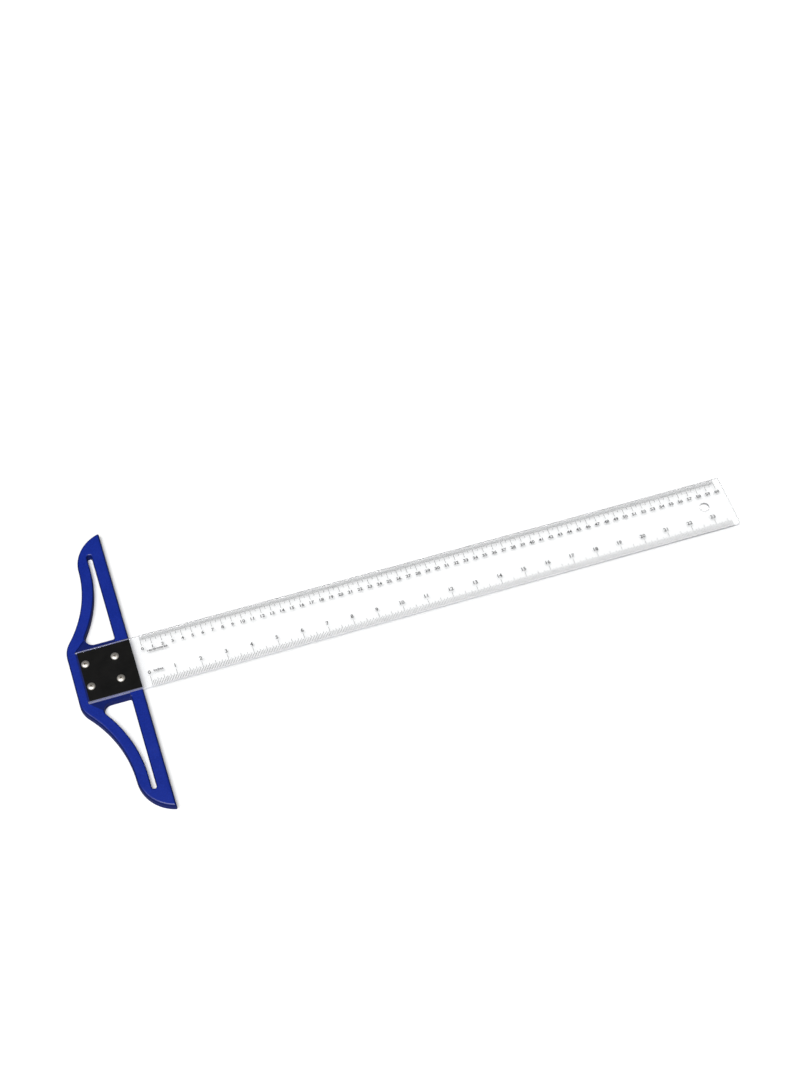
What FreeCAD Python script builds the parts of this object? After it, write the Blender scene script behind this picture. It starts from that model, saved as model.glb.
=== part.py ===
import FreeCAD, Part
import math
import os
import Sketcher

# T-square for drawing: a moulded head with two open handles, a clear acrylic blade printed with a
# centimetre and an inch scale, and a square clamp plate held by four screws with captive nuts.
#
# Frame, in millimetres: the origin is where the head's working face meets the underside of the blade
# on the blade's centreline. +X runs along the blade to its far end, +Y points to the edge that has
# the centimetre scale, and +Z points up, away from the drawing board.

SHEET = "Sizes"
TOUCH = 0.001   # mm, two places closer than this are the same
NEAR = 0.5      # mm, close enough to tell one edge from the next

# alias, millimetres (or degrees, or a plain count), what it is
SIZES = [
    ("blade_width", 58.6, "blade, across both scales"),
    ("blade_thick", 3.0, "blade"),
    ("blade_reach", 617.0, "working face to the blade's far end"),
    ("blade_tail", 53.0, "working face to the blade's end inside the head"),
    ("bevel_width", 0.4, "small bevel along each long edge of the blade"),
    ("bevel_drop", 0.4, "height that the bevel takes off the blade's edge"),
    ("blade_corner", 1.2, "corner radius at the blade's far end"),
    ("hang_hole_dia", 10.0, "hanging hole"),
    ("hang_hole_inset", 27.0, "blade's far end to the centre of the hanging hole"),
    ("head_drop", 5.0, "depth of the head below the blade's underside"),
    ("head_rise", 3.2, "height of the arms above the blade's underside"),
    ("deck_rise", 1.8, "height of the lower deck on both sides of the blade"),
    ("heel_depth", 61.5, "working face to the heel's flat back"),
    ("heel_half", 26.3, "half the length of the heel's flat back"),
    ("bend_radius", 25.0, "convex bend from the heel to the arm"),
    ("sweep_radius", 127.0, "long concave sweep of the arm's outside"),
    ("neck_depth", 29.0, "working face to the narrowest place, where the sweep ends"),
    ("horn_radius", 38.6, "convex end of the arm, up to the pointed tip"),
    ("arm_width", 11.6, "width of the curved arm"),
    ("bar_width", 12.8, "width of the straight bar behind the working face"),
    ("web_edge", 33.1, "centreline to the near side of the opening"),
    ("opening_end", 134.3, "centreline to the far end of the opening"),
    ("opening_corner", 8.0, "corner of the opening beside the heel"),
    ("bar_corner", 2.0, "corner of the opening beside the bar"),
    ("outer_round", 2.3, "rounding of the head's outer top edge"),
    ("inner_round", 1.8, "rounding of the opening's top edge"),
    ("tip_round", 1.0, "rounding of the upright edge at the tip"),
    ("seat_gap", 0.15, "clearance between the blade and the seat's walls"),
    ("step_back", 42.0, "deck's step, working face to its end at the opening"),
    ("step_out", 40.0, "deck's step, centreline to its end at the opening"),
    ("wall", 2.3, "moulded wall beside the hollows under the head"),
    ("floor_thick", 2.2, "plastic between the blade's seat and the hollow below it"),
    ("core_depth", 5.6, "depth of the hollows under the arms and bars"),
    ("rib", 1.8, "ribs between the hollows"),
    ("bar_core_length", 21.0, "length of one hollow under the bar"),
    ("bar_cores", 4, "hollows under one bar"),
    ("arm_core_angle", 7.9, "angle that one hollow under the arm takes"),
    ("arm_core_pitch", 9.3, "angle from one hollow under the arm to the next"),
    ("arm_cores", 4, "hollows under one arm"),
    ("plate_length", 51.5, "clamp plate along the blade"),
    ("plate_width", 54.4, "clamp plate across the blade"),
    ("plate_thick", 1.0, "clamp plate"),
    ("plate_corner", 0.8, "clamp plate's corners"),
    ("screw_middle", 31.8, "working face to the middle of the four screws"),
    ("screw_pitch_x", 28.9, "screw to screw along the blade"),
    ("screw_pitch_y", 25.4, "screw to screw across the blade"),
    ("screw_dia", 4.0, "screw's shank"),
    ("screw_length", 8.0, "under the screw's head to its end"),
    ("screw_chamfer", 0.4, "chamfer at the screw's end"),
    ("screw_head_dia", 8.0, "pan head"),
    ("screw_head_high", 2.6, "pan head"),
    ("screw_side_high", 1.3, "straight side of the pan head"),
    ("recess_span", 4.3, "cross recess, tip to tip"),
    ("recess_slot", 1.05, "cross recess, width of one wing"),
    ("recess_depth", 1.7, "cross recess"),
    ("clear_hole_dia", 4.4, "screw's clearance hole in the head, blade and plate"),
    ("nut_flats", 7.0, "hexagon nut across its flats"),
    ("nut_high", 3.2, "hexagon nut"),
    ("nut_bore_dia", 4.1, "plain bore that stands for the nut's thread"),
    ("nut_chamfer", 0.45, "height of the nut's corner chamfer"),
    ("pocket_flats", 7.3, "nut pocket across its flats"),
    ("pocket_depth", 3.4, "nut pocket from the head's underside"),
    ("boss_dia", 11.6, "boss around each nut pocket"),
    ("scale_start", 10.0, "working face to both zero marks"),
    ("mark_thick", 0.03, "layer of ink on the blade's underside"),
    ("mark_width", 0.3, "one mark"),
    ("cm_mark_length", 11.0, "mark at each whole centimetre"),
    ("cm_marks", 61, "marks at 0 to 60 cm"),
    ("cm_pitch", 10.0, "one centimetre"),
    ("inch_mark_length", 12.5, "mark at each whole inch"),
    ("inch_marks", 24, "marks at 0 to 23 inches"),
    ("inch_pitch", 25.4, "one inch"),
]

doc = FreeCAD.newDocument("t_square")


# ---------------------------------------------------------------- the sheet and small helpers

def make_sheet():
    sheet = doc.addObject("Spreadsheet::Sheet", SHEET)
    for row, (alias, number, note) in enumerate(SIZES, start=1):
        sheet.set("A%d" % row, note)
        sheet.set("B%d" % row, str(number))
        sheet.setAlias("B%d" % row, alias)
    doc.recompute()
    return sheet


def size(alias):
    return float(sheet.get(alias))


def ref(formula):
    """A formula with {alias} marks, written out for the expression engine."""
    return formula.replace("{", SHEET + ".").replace("}", "")


def bind(thing, **formulas):
    for name, formula in formulas.items():
        thing.setExpression(name.replace("__", "."), ref(formula))


def new_body(label):
    body = doc.addObject("PartDesign::Body", label)
    body.Label = label
    return body


def new_sketch(body, name, plane="XY_Plane", height="0"):
    """A sketch on one of the body's own origin planes, raised along its normal."""
    sketch = body.newObject("Sketcher::SketchObject", name)
    support = [f for f in body.Origin.OriginFeatures if f.Role == plane][0]
    sketch.AttachmentSupport = [(support, "")]
    sketch.MapMode = "FlatFace"
    bind(sketch, AttachmentOffset__Base__z=height)
    return sketch


def drawn_size(sketch, kind, where):
    """What a dimension measures on the sketch as it is drawn so far."""
    if kind == "Radius":
        return sketch.Geometry[where[0]].Radius
    reach = sketch.getPoint(where[2], where[3]) - sketch.getPoint(where[0], where[1])
    return reach.x if kind == "DistanceX" else reach.y


def fix(sketch, kind, *where, to):
    """A driving dimension of the sketch, bound to a formula."""
    index = sketch.addConstraint(Sketcher.Constraint(kind, *where, drawn_size(sketch, kind, where)))
    name = "size_%d" % index
    sketch.renameConstraint(index, name)
    bind(sketch, **{"Constraints__" + name: to})


def tie(sketch, kind, *where):
    sketch.addConstraint(Sketcher.Constraint(kind, *where))


def add_line(sketch, start, end):
    return sketch.addGeometry(Part.LineSegment(FreeCAD.Vector(*start, 0), FreeCAD.Vector(*end, 0)), False)


def add_arc(sketch, centre, radius, first, last):
    """An arc that runs counter-clockwise between two angles in degrees."""
    circle = Part.Circle(FreeCAD.Vector(*centre, 0), FreeCAD.Vector(0, 0, 1), radius)
    arc = Part.ArcOfCircle(circle, math.radians(first), math.radians(last))
    return sketch.addGeometry(arc, False)


def add_circle(sketch, x, y, dia):
    """A circle whose place and size are formulas."""
    index = sketch.addGeometry(Part.Circle(FreeCAD.Vector(1, 1, 0), FreeCAD.Vector(0, 0, 1), 1.0), False)
    fix(sketch, "DistanceX", -1, 1, index, 3, to=x)
    fix(sketch, "DistanceY", -1, 1, index, 3, to=y)
    fix(sketch, "Radius", index, to="(%s) / 2" % dia)


def add_polygon(sketch, corners):
    """A closed outline of straight lines; each corner is a pair of formulas."""
    count = len(corners)
    spots = [(math.cos(2 * math.pi * i / count), math.sin(2 * math.pi * i / count)) for i in range(count)]
    lines = [add_line(sketch, spots[i], spots[(i + 1) % count]) for i in range(count)]
    for i, (x, y) in enumerate(corners):
        tie(sketch, "Coincident", lines[i - 1], 2, lines[i], 1)
        fix(sketch, "DistanceX", -1, 1, lines[i], 1, to=x)
        fix(sketch, "DistanceY", -1, 1, lines[i], 1, to=y)


def add_rectangle(sketch, left, right, low, high):
    add_polygon(sketch, [(left, low), (right, low), (right, high), (left, high)])


def pad(body, name, profile, length, upwards=True):
    feature = body.newObject("PartDesign::Pad", name)
    feature.Profile = profile
    feature.Reversed = not upwards
    bind(feature, Length=length)
    return feature


def pocket(body, name, profile, length=None, upwards=False):
    """A cut of the given depth, or right through when no depth is given."""
    feature = body.newObject("PartDesign::Pocket", name)
    feature.Profile = profile
    feature.Reversed = upwards
    if length is None:
        feature.Type = "ThroughAll"
    else:
        bind(feature, Length=length)
    return feature


def edges_where(feature, test):
    doc.recompute()
    edges = feature.Shape.Edges
    return [f"Edge{i}" for i, edge in enumerate(edges, start=1) if test(edge)]


def is_level(edge, height):
    """Whether an edge lies level at the given height."""
    box = edge.BoundBox
    return abs(box.ZMin - height) < TOUCH and abs(box.ZMax - height) < TOUCH


def is_upright(edge):
    return edge.BoundBox.ZLength > NEAR


def upright_near(x, y):
    """A test for an upright edge that stands at x, y."""
    def test(edge):
        centre = edge.BoundBox.Center
        return is_upright(edge) and math.hypot(centre.x - x, centre.y - y) < NEAR
    return test


def round_edges(body, name, feature, radius, test):
    fillet = body.newObject("PartDesign::Fillet", name)
    fillet.Base = (feature, edges_where(feature, test))
    bind(fillet, Radius=radius)
    return fillet


def mirror_whole(body, name, plane):
    mirrored = body.newObject("PartDesign::Mirrored", name)
    mirrored.TransformMode = "Whole shape"
    mirrored.MirrorPlane = ([f for f in body.Origin.OriginFeatures if f.Role == plane][0], [""])
    body.Tip = mirrored
    return mirrored


# ---------------------------------------------------------------- places shared by several pieces

def screw_rows():
    """Formulas for x of the two rows of screws, the one near the heel first."""
    return ["-{screw_middle} %s {screw_pitch_x} / 2" % side for side in ("-", "+")]


def screw_places():
    """Formulas for the centres of the four screws, with a name for each place."""
    places = {}
    for end, x in zip(("heel", "face"), screw_rows()):
        for scale, side in (("inch", "-"), ("cm", "+")):
            places[end + "_" + scale] = (x, side + "{screw_pitch_y} / 2")
    return places


# ---------------------------------------------------------------- the head

def arm_centres():
    """Centres of the heel's bend, the long sweep and the horn, in the half where y is positive."""
    bend = (size("bend_radius") - size("heel_depth"), size("heel_half"))
    sweep_x = -size("neck_depth") - size("sweep_radius")
    reach = size("sweep_radius") + size("bend_radius")
    sweep_y = bend[1] + math.sqrt(reach ** 2 - (bend[0] - sweep_x) ** 2)
    horn = (size("horn_radius") - size("neck_depth"), sweep_y)
    return bend, (sweep_x, sweep_y), horn


SWEEP_X = "-{neck_depth} - {sweep_radius}"
SWEEP_Y = (
    "{heel_half} + sqrt(({sweep_radius} + {bend_radius})^2"
    " - ({sweep_radius} + {neck_depth} + {bend_radius} - {heel_depth})^2)"
)


def half_outline(body):
    """Half of the head's outline: back of the heel, bend, sweep, horn and working face."""
    bend, sweep, horn = arm_centres()
    lean = math.degrees(math.atan2(sweep[1] - bend[1], bend[0] - sweep[0]))
    tip_y = horn[1] + math.sqrt(size("horn_radius") ** 2 - horn[0] ** 2)
    tip_angle = math.degrees(math.atan2(tip_y - horn[1], -horn[0]))
    s = new_sketch(body, "head_outline", height="-{head_drop}")
    heel = (-size("heel_depth"), bend[1])
    back = add_line(s, (heel[0], 0), heel)
    bend_arc = add_arc(s, bend, size("bend_radius"), 180 - lean, 180)
    sweep_arc = add_arc(s, sweep, size("sweep_radius"), -lean, 0)
    horn_arc = add_arc(s, horn, size("horn_radius"), tip_angle, 180)
    face = add_line(s, (0, tip_y), (0, 0))
    middle = add_line(s, (0, 0), (heel[0], 0))
    tie(s, "Vertical", back)
    tie(s, "Tangent", back, 2, bend_arc, 2)
    tie(s, "Tangent", bend_arc, 1, sweep_arc, 1)
    tie(s, "Tangent", sweep_arc, 2, horn_arc, 2)
    tie(s, "Coincident", horn_arc, 1, face, 1)
    tie(s, "Coincident", face, 2, middle, 1)
    tie(s, "Coincident", middle, 2, back, 1)
    tie(s, "Coincident", face, 2, -1, 1)
    tie(s, "Vertical", face)
    tie(s, "Horizontal", middle)
    fix(s, "DistanceX", -1, 1, back, 2, to="-{heel_depth}")
    fix(s, "DistanceY", -1, 1, back, 2, to="{heel_half}")
    fix(s, "Radius", bend_arc, to="{bend_radius}")
    fix(s, "Radius", sweep_arc, to="{sweep_radius}")
    fix(s, "Radius", horn_arc, to="{horn_radius}")
    fix(s, "DistanceX", -1, 1, sweep_arc, 3, to=SWEEP_X)
    fix(s, "DistanceY", sweep_arc, 3, horn_arc, 3, to="0")
    return s


def opening_outline(body):
    """The open loop between the curved arm, the bar and the web beside the blade."""
    sweep = arm_centres()[1]
    inner = size("sweep_radius") + size("arm_width")
    corner, small = size("opening_corner"), size("bar_corner")
    near, far = size("web_edge"), size("opening_end")
    bar_x, arm_x = -size("bar_width"), size("arm_width") - size("neck_depth")
    corner_y = near + corner
    corner_x = sweep[0] + math.sqrt((inner + corner) ** 2 - (sweep[1] - corner_y) ** 2)
    lean = math.degrees(math.atan2(sweep[1] - corner_y, corner_x - sweep[0]))
    end_radius = (bar_x - arm_x) / 2
    s = new_sketch(body, "opening_outline", height="{head_rise}")
    web = add_line(s, (corner_x, near), (bar_x - small, near))
    bar_arc = add_arc(s, (bar_x - small, near + small), small, -90, 0)
    bar = add_line(s, (bar_x, near + small), (bar_x, far - end_radius))
    end_arc = add_arc(s, (bar_x - end_radius, far - end_radius), end_radius, 0, 180)
    neck = add_line(s, (arm_x, far - end_radius), (arm_x, sweep[1]))
    arm_arc = add_arc(s, sweep, inner, -lean, 0)
    heel_arc = add_arc(s, (corner_x, corner_y), corner, 180 - lean, 270)
    tie(s, "Horizontal", web)
    tie(s, "Tangent", web, 2, bar_arc, 1)
    tie(s, "Tangent", bar_arc, 2, bar, 1)
    tie(s, "Tangent", bar, 2, end_arc, 1)
    tie(s, "Tangent", end_arc, 2, neck, 1)
    tie(s, "Tangent", neck, 2, arm_arc, 2)
    tie(s, "Tangent", arm_arc, 1, heel_arc, 1)
    tie(s, "Tangent", heel_arc, 2, web, 1)
    tie(s, "Vertical", bar)
    fix(s, "DistanceY", -1, 1, web, 1, to="{web_edge}")
    fix(s, "DistanceX", -1, 1, bar, 1, to="-{bar_width}")
    fix(s, "DistanceY", -1, 1, bar, 2, to="{opening_end} - ({neck_depth} - {arm_width} - {bar_width}) / 2")
    fix(s, "Radius", bar_arc, to="{bar_corner}")
    fix(s, "Radius", heel_arc, to="{opening_corner}")
    fix(s, "Radius", arm_arc, to="{sweep_radius} + {arm_width}")
    fix(s, "DistanceX", -1, 1, arm_arc, 3, to=SWEEP_X)
    fix(s, "DistanceY", -1, 1, arm_arc, 3, to=SWEEP_Y)
    return s


def cut_seat(body):
    """The lower deck on both sides of the blade, then the seat that the blade lies in."""
    deck = new_sketch(body, "deck_outline", height="{head_rise}")
    back = "-{blade_tail} - {seat_gap}"
    side = "{blade_width} / 2 + {seat_gap}"
    add_polygon(deck, [
        ("-{bar_width}", "-1"),
        ("-{bar_width}", "{step_out}"),
        ("-{step_back}", "{step_out}"),
        (back, side),
        (back, "-1"),
    ])
    pocket(body, "deck", deck, "{head_rise} - {deck_rise}")
    seat = new_sketch(body, "seat_outline", height="{head_rise}")
    add_rectangle(seat, back, "1", "-1", side)
    pocket(body, "seat", seat, "{head_rise}")


def core_bar(body):
    """A row of hollows under the straight bar, with ribs between them."""
    s = new_sketch(body, "bar_core_outline", height="-{head_drop}")
    near = "{web_edge} + {wall}"
    add_rectangle(s, "-{bar_width} + {wall}", "-{wall}", near, near + " + {bar_core_length}")
    core = pocket(body, "bar_core", s, "{core_depth}", upwards=True)
    row = body.newObject("PartDesign::LinearPattern", "bar_core_row")
    row.Originals = [core]
    row.Direction = (s, ["V_Axis"])
    bind(row, Length="({bar_core_length} + {rib}) * ({bar_cores} - 1)", Occurrences="{bar_cores}")
    body.Tip = row


def core_arm(body):
    """Hollows under the curved arm, turned about the centre of its sweep."""
    outer = size("sweep_radius") + size("wall")
    inner = size("sweep_radius") + size("arm_width") - size("wall")
    span = size("arm_core_angle")
    s = new_sketch(body, "arm_core_outline", height="-{head_drop}")
    bind(s, AttachmentOffset__Base__x=SWEEP_X, AttachmentOffset__Base__y=SWEEP_Y)
    start = math.radians(-span)
    far_arc = add_arc(s, (0, 0), inner, -span, 0)
    near_arc = add_arc(s, (0, 0), outer, -span, 0)
    top = add_line(s, (outer, 0), (inner, 0))
    low = add_line(s, (outer * math.cos(start), outer * math.sin(start)),
                   (inner * math.cos(start), inner * math.sin(start)))
    for arc in (far_arc, near_arc):
        tie(s, "Coincident", arc, 3, -1, 1)
    tie(s, "Coincident", top, 1, near_arc, 2)
    tie(s, "Coincident", top, 2, far_arc, 2)
    tie(s, "Coincident", low, 1, near_arc, 1)
    tie(s, "Coincident", low, 2, far_arc, 1)
    tie(s, "Horizontal", top)
    tie(s, "PointOnObject", -1, 1, low)
    fix(s, "DistanceY", -1, 1, top, 1, to="0")
    fix(s, "Radius", near_arc, to="{sweep_radius} + {wall}")
    fix(s, "Radius", far_arc, to="{sweep_radius} + {arm_width} - {wall}")
    fix(s, "DistanceY", -1, 1, low, 1, to="-({sweep_radius} + {wall}) * sin({arm_core_angle} * 1deg)")
    core = pocket(body, "arm_core", s, "{core_depth}", upwards=True)
    turn = body.newObject("PartDesign::PolarPattern", "arm_core_row")
    turn.Originals = [core]
    turn.Axis = (s, ["N_Axis"])
    turn.Reversed = True
    bind(turn, Angle="{arm_core_pitch} * ({arm_cores} - 1)", Occurrences="{arm_cores}")
    body.Tip = turn


def core_tip(body):
    """The hollow under the pointed end, beyond the opening."""
    horn = arm_centres()[2]
    radius, wall = size("horn_radius") - size("wall"), size("wall")
    low_y = size("opening_end") + wall
    left_x = horn[0] - math.sqrt(radius ** 2 - (low_y - horn[1]) ** 2)
    high_y = horn[1] + math.sqrt(radius ** 2 - (horn[0] + wall) ** 2)
    s = new_sketch(body, "tip_core_outline", height="-{head_drop}")
    low = add_line(s, (left_x, low_y), (-wall, low_y))
    side = add_line(s, (-wall, low_y), (-wall, high_y))
    first = math.degrees(math.atan2(high_y - horn[1], -wall - horn[0]))
    last = math.degrees(math.atan2(low_y - horn[1], left_x - horn[0]))
    arc = add_arc(s, horn, radius, first, last)
    tie(s, "Coincident", low, 2, side, 1)
    tie(s, "Coincident", side, 2, arc, 1)
    tie(s, "Coincident", arc, 2, low, 1)
    tie(s, "Horizontal", low)
    tie(s, "Vertical", side)
    fix(s, "DistanceX", -1, 1, side, 1, to="-{wall}")
    fix(s, "DistanceY", -1, 1, side, 1, to="{opening_end} + {wall}")
    fix(s, "Radius", arc, to="{horn_radius} - {wall}")
    fix(s, "DistanceX", -1, 1, arc, 3, to="{horn_radius} - {neck_depth}")
    fix(s, "DistanceY", -1, 1, arc, 3, to=SWEEP_Y)
    pocket(body, "tip_core", s, "{core_depth}", upwards=True)


def core_belly(body):
    """The shallow hollow under the seat, with a cross of ribs and a boss around each nut."""
    depth = "{head_drop} - {floor_thick}"
    left, right, side = "-{heel_depth} + {wall}", "-{wall}", "{web_edge} - {wall}"
    middle = "-{screw_middle}"
    hollow = new_sketch(body, "belly_outline", height="-{head_drop}")
    add_rectangle(hollow, left, right, "0", side)
    pocket(body, "belly", hollow, depth, upwards=True)
    long_rib = new_sketch(body, "long_rib_outline", height="-{head_drop}")
    add_rectangle(long_rib, left, right, "0", "{rib} / 2")
    pad(body, "long_rib", long_rib, depth)
    cross_rib = new_sketch(body, "cross_rib_outline", height="-{head_drop}")
    add_rectangle(cross_rib, middle + " - {rib} / 2", middle + " + {rib} / 2", "0", side)
    pad(body, "cross_rib", cross_rib, depth)
    for number, x in enumerate(screw_rows(), start=1):
        boss = new_sketch(body, "boss_outline_%d" % number, height="-{head_drop}")
        add_circle(boss, x, "{screw_pitch_y} / 2", "{boss_dia}")
        pad(body, "boss_%d" % number, boss, depth)


def add_hexagon(sketch, flats, x="0", y="0"):
    """A regular hexagon with two sides along X."""
    reach = "(%s) / sqrt(3)" % flats
    corners = []
    for i in range(6):
        angle = 60 * i
        corners.append((
            "%s + %s * cos(%d deg)" % (x, reach, angle),
            "%s + %s * sin(%d deg)" % (y, reach, angle),
        ))
    add_polygon(sketch, corners)


def cut_screw_places(body):
    """Clearance holes for the screws and the hexagonal pockets that keep the nuts from turning."""
    holes = new_sketch(body, "screw_hole_outline", height="1")
    for x in screw_rows():
        add_circle(holes, x, "{screw_pitch_y} / 2", "{clear_hole_dia}")
    pocket(body, "screw_holes", holes)
    for number, x in enumerate(screw_rows(), start=1):
        hexagon = new_sketch(body, "nut_pocket_outline_%d" % number, height="-{head_drop}")
        add_hexagon(hexagon, "{pocket_flats}", x, "{screw_pitch_y} / 2")
        pocket(body, "nut_pocket_%d" % number, hexagon, "{pocket_depth}", upwards=True)


def above_wall(feature):
    """A test for a level edge at the head's top that has an upright wall straight below it."""
    doc.recompute()
    skin = Part.makeCompound(feature.Shape.Faces)

    def test(edge):
        middle = edge.valueAt((edge.FirstParameter + edge.LastParameter) / 2)
        below = Part.Vertex(middle.x, middle.y, 0)
        walled = middle.y > TOUCH and below.distToShape(skin)[0] < TOUCH
        return walled and is_level(edge, size("head_rise"))
    return test


def make_head():
    body = new_body("head")
    block = pad(body, "head_block", half_outline(body), "{head_drop} + {head_rise}")
    horn = arm_centres()[2]
    tip_y = horn[1] + math.sqrt(size("horn_radius") ** 2 - horn[0] ** 2)
    tip = round_edges(body, "tip_rounding", block, "{tip_round}", upright_near(0, tip_y))
    round_edges(body, "outer_rounding", tip, "{outer_round}", above_wall(tip))
    opening = pocket(body, "opening", opening_outline(body))
    round_edges(body, "inner_rounding", opening, "{inner_round}", above_wall(opening))
    cut_seat(body)
    core_bar(body)
    core_arm(body)
    core_tip(body)
    core_belly(body)
    cut_screw_places(body)
    mirror_whole(body, "both_halves", "XZ_Plane")


# ---------------------------------------------------------------- the blade and the clamp plate

def make_blade():
    """An extruded strip with slightly bevelled long edges, drilled for the screws and for hanging."""
    body = new_body("blade")
    section = new_sketch(body, "blade_section", plane="YZ_Plane", height="-{blade_tail}")
    side, land = "{blade_width} / 2", "{blade_thick} - {bevel_drop}"
    top = side + " - {bevel_width}"
    add_polygon(section, [
        ("-" + side, "0"),
        (side, "0"),
        (side, land),
        (top, "{blade_thick}"),
        ("-(%s)" % top, "{blade_thick}"),
        ("-" + side, land),
    ])
    strip = pad(body, "blade_strip", section, "{blade_tail} + {blade_reach}")
    far, half = size("blade_reach"), size("blade_width") / 2
    corners = [upright_near(far, half), upright_near(far, -half)]
    round_edges(body, "far_corners", strip, "{blade_corner}", lambda edge: any(at(edge) for at in corners))
    holes = new_sketch(body, "blade_hole_outline", height="{blade_thick} + 1")
    for x, y in screw_places().values():
        add_circle(holes, x, y, "{clear_hole_dia}")
    add_circle(holes, "{blade_reach} - {hang_hole_inset}", "0", "{hang_hole_dia}")
    pocket(body, "blade_holes", holes)


def make_clamp_plate():
    """The flat square plate that spreads the screws' pressure over the blade."""
    body = new_body("clamp_plate")
    outline = new_sketch(body, "plate_outline", height="{blade_thick}")
    add_rectangle(outline, "-{plate_length}", "0", "-{plate_width} / 2", "{plate_width} / 2")
    blank = pad(body, "plate_blank", outline, "{plate_thick}")
    round_edges(body, "plate_corners", blank, "{plate_corner}", is_upright)
    holes = new_sketch(body, "plate_hole_outline", height="{blade_thick} + {plate_thick}")
    for x, y in screw_places().values():
        add_circle(holes, x, y, "{clear_hole_dia}")
    pocket(body, "plate_holes", holes)


# ---------------------------------------------------------------- screws and nuts

def place(body, x, y, z):
    bind(body, Placement__Base__x=x, Placement__Base__y=y, Placement__Base__z=z)


def screw_section(body):
    """Half the section of a pan-head screw: its origin is under the head, on the axis."""
    head, side, high = size("screw_head_dia") / 2, size("screw_side_high"), size("screw_head_high")
    shank, length, chamfer = size("screw_dia") / 2, size("screw_length"), size("screw_chamfer")
    rise = high - side
    dome = (head ** 2 + rise ** 2) / (2 * rise)
    half_angle = math.degrees(math.asin(head / dome))
    s = new_sketch(body, "screw_section", plane="XZ_Plane")
    arc = add_arc(s, (0, high - dome), dome, 90 - half_angle, 90)
    corners = [(head, side), (head, 0), (shank, 0), (shank, chamfer - length), (shank - chamfer, -length),
               (0, -length), (0, high)]
    lines = [add_line(s, first, last) for first, last in zip(corners, corners[1:])]
    for first, last in zip(lines, lines[1:]):
        tie(s, "Coincident", first, 2, last, 1)
    tie(s, "Coincident", arc, 1, lines[0], 1)
    tie(s, "Coincident", lines[-1], 2, arc, 2)
    for index in (0, 2, 5):
        tie(s, "Vertical", lines[index])
    for index in (1, 4):
        tie(s, "Horizontal", lines[index])
    tie(s, "PointOnObject", arc, 3, -2)
    tie(s, "PointOnObject", lines[5], 1, -2)
    tie(s, "PointOnObject", lines[1], 1, -1)
    fix(s, "DistanceX", -1, 1, lines[0], 1, to="{screw_head_dia} / 2")
    fix(s, "DistanceY", -1, 1, lines[0], 1, to="{screw_side_high}")
    fix(s, "DistanceY", -1, 1, lines[5], 2, to="{screw_head_high}")
    fix(s, "DistanceX", -1, 1, lines[2], 1, to="{screw_dia} / 2")
    fix(s, "DistanceY", lines[5], 1, -1, 1, to="{screw_length}")
    fix(s, "DistanceX", lines[3], 2, lines[3], 1, to="{screw_chamfer}")
    fix(s, "DistanceY", lines[3], 2, lines[3], 1, to="{screw_chamfer}")
    return s


def make_screw(label, x, y):
    body = new_body(label)
    turned = body.newObject("PartDesign::Revolution", label + "_turned")
    section = screw_section(body)
    turned.Profile = section
    turned.ReferenceAxis = (section, ["V_Axis"])
    turned.Angle = 360
    body.Tip = turned
    cross = new_sketch(body, label + "_cross", height="{screw_head_high}")
    wing, slot = "{recess_span} / 2", "{recess_slot} / 2"
    corners = []
    for along, across in (("", ""), ("-", ""), ("-", "-"), ("", "-")):
        x_wing, x_slot, y_wing, y_slot = along + wing, along + slot, across + wing, across + slot
        turn = [(x_wing, y_slot), (x_slot, y_slot), (x_slot, y_wing)]
        corners += turn if along == across else turn[::-1]
    add_polygon(cross, corners)
    pocket(body, label + "_recess", cross, "{recess_depth}")
    place(body, x, y, "{blade_thick} + {plate_thick}")


def make_nut(label, x, y):
    body = new_body(label)
    hexagon = new_sketch(body, label + "_hexagon")
    add_hexagon(hexagon, "{nut_flats}")
    pad(body, label + "_blank", hexagon, "{nut_high}")
    bore = new_sketch(body, label + "_bore_outline", height="{nut_high}")
    add_circle(bore, "0", "0", "{nut_bore_dia}")
    pocket(body, label + "_bore", bore)
    corner, low = "{nut_flats} / sqrt(3) + 0.01", "{nut_flats} / 2"
    ends = {"lower": ("0", "{nut_chamfer}"), "upper": ("{nut_high}", "{nut_high} - {nut_chamfer}")}
    for end, (near, far) in ends.items():
        wedge = new_sketch(body, label + "_" + end + "_wedge", plane="XZ_Plane")
        add_polygon(wedge, [(low, near), (corner, near), (corner, far)])
        groove = body.newObject("PartDesign::Groove", label + "_" + end + "_chamfer")
        groove.Profile = wedge
        groove.ReferenceAxis = (wedge, ["V_Axis"])
        groove.Angle = 360
    place(body, x, y, "{pocket_depth} - {head_drop} - {nut_high}")


# ---------------------------------------------------------------- the two scales

def make_marks(label, edge, length, count, pitch):
    """The main marks of one scale, as a layer of ink under the blade: edge is +1 or -1 along Y."""
    body = new_body(label)
    mark = new_sketch(body, label + "_mark", height="-{mark_thick}")
    outer = "%d * {blade_width} / 2" % edge
    inner = "%d * ({blade_width} / 2 - {%s})" % (edge, length)
    add_rectangle(mark, "{scale_start} - {mark_width} / 2", "{scale_start} + {mark_width} / 2", inner, outer)
    first = pad(body, label + "_zero", mark, "{mark_thick}")
    row = body.newObject("PartDesign::LinearPattern", label + "_row")
    row.Originals = [first]
    row.Direction = (mark, ["H_Axis"])
    bind(row, Length="{%s} * ({%s} - 1)" % (pitch, count), Occurrences="{%s}" % count)
    body.Tip = row


# ---------------------------------------------------------------- building and writing

def check_document():
    """Stops when any object failed, so that nothing half-built is written."""
    doc.recompute()
    for thing in doc.Objects:
        if "Invalid" in thing.State or "Error" in thing.State:
            raise RuntimeError("%s did not build: %s" % (thing.Name, thing.State))
    for body in doc.findObjects("PartDesign::Body"):
        if body.Shape.isNull() or not body.Shape.isValid():
            raise RuntimeError("%s has no valid shape" % body.Label)


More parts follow.
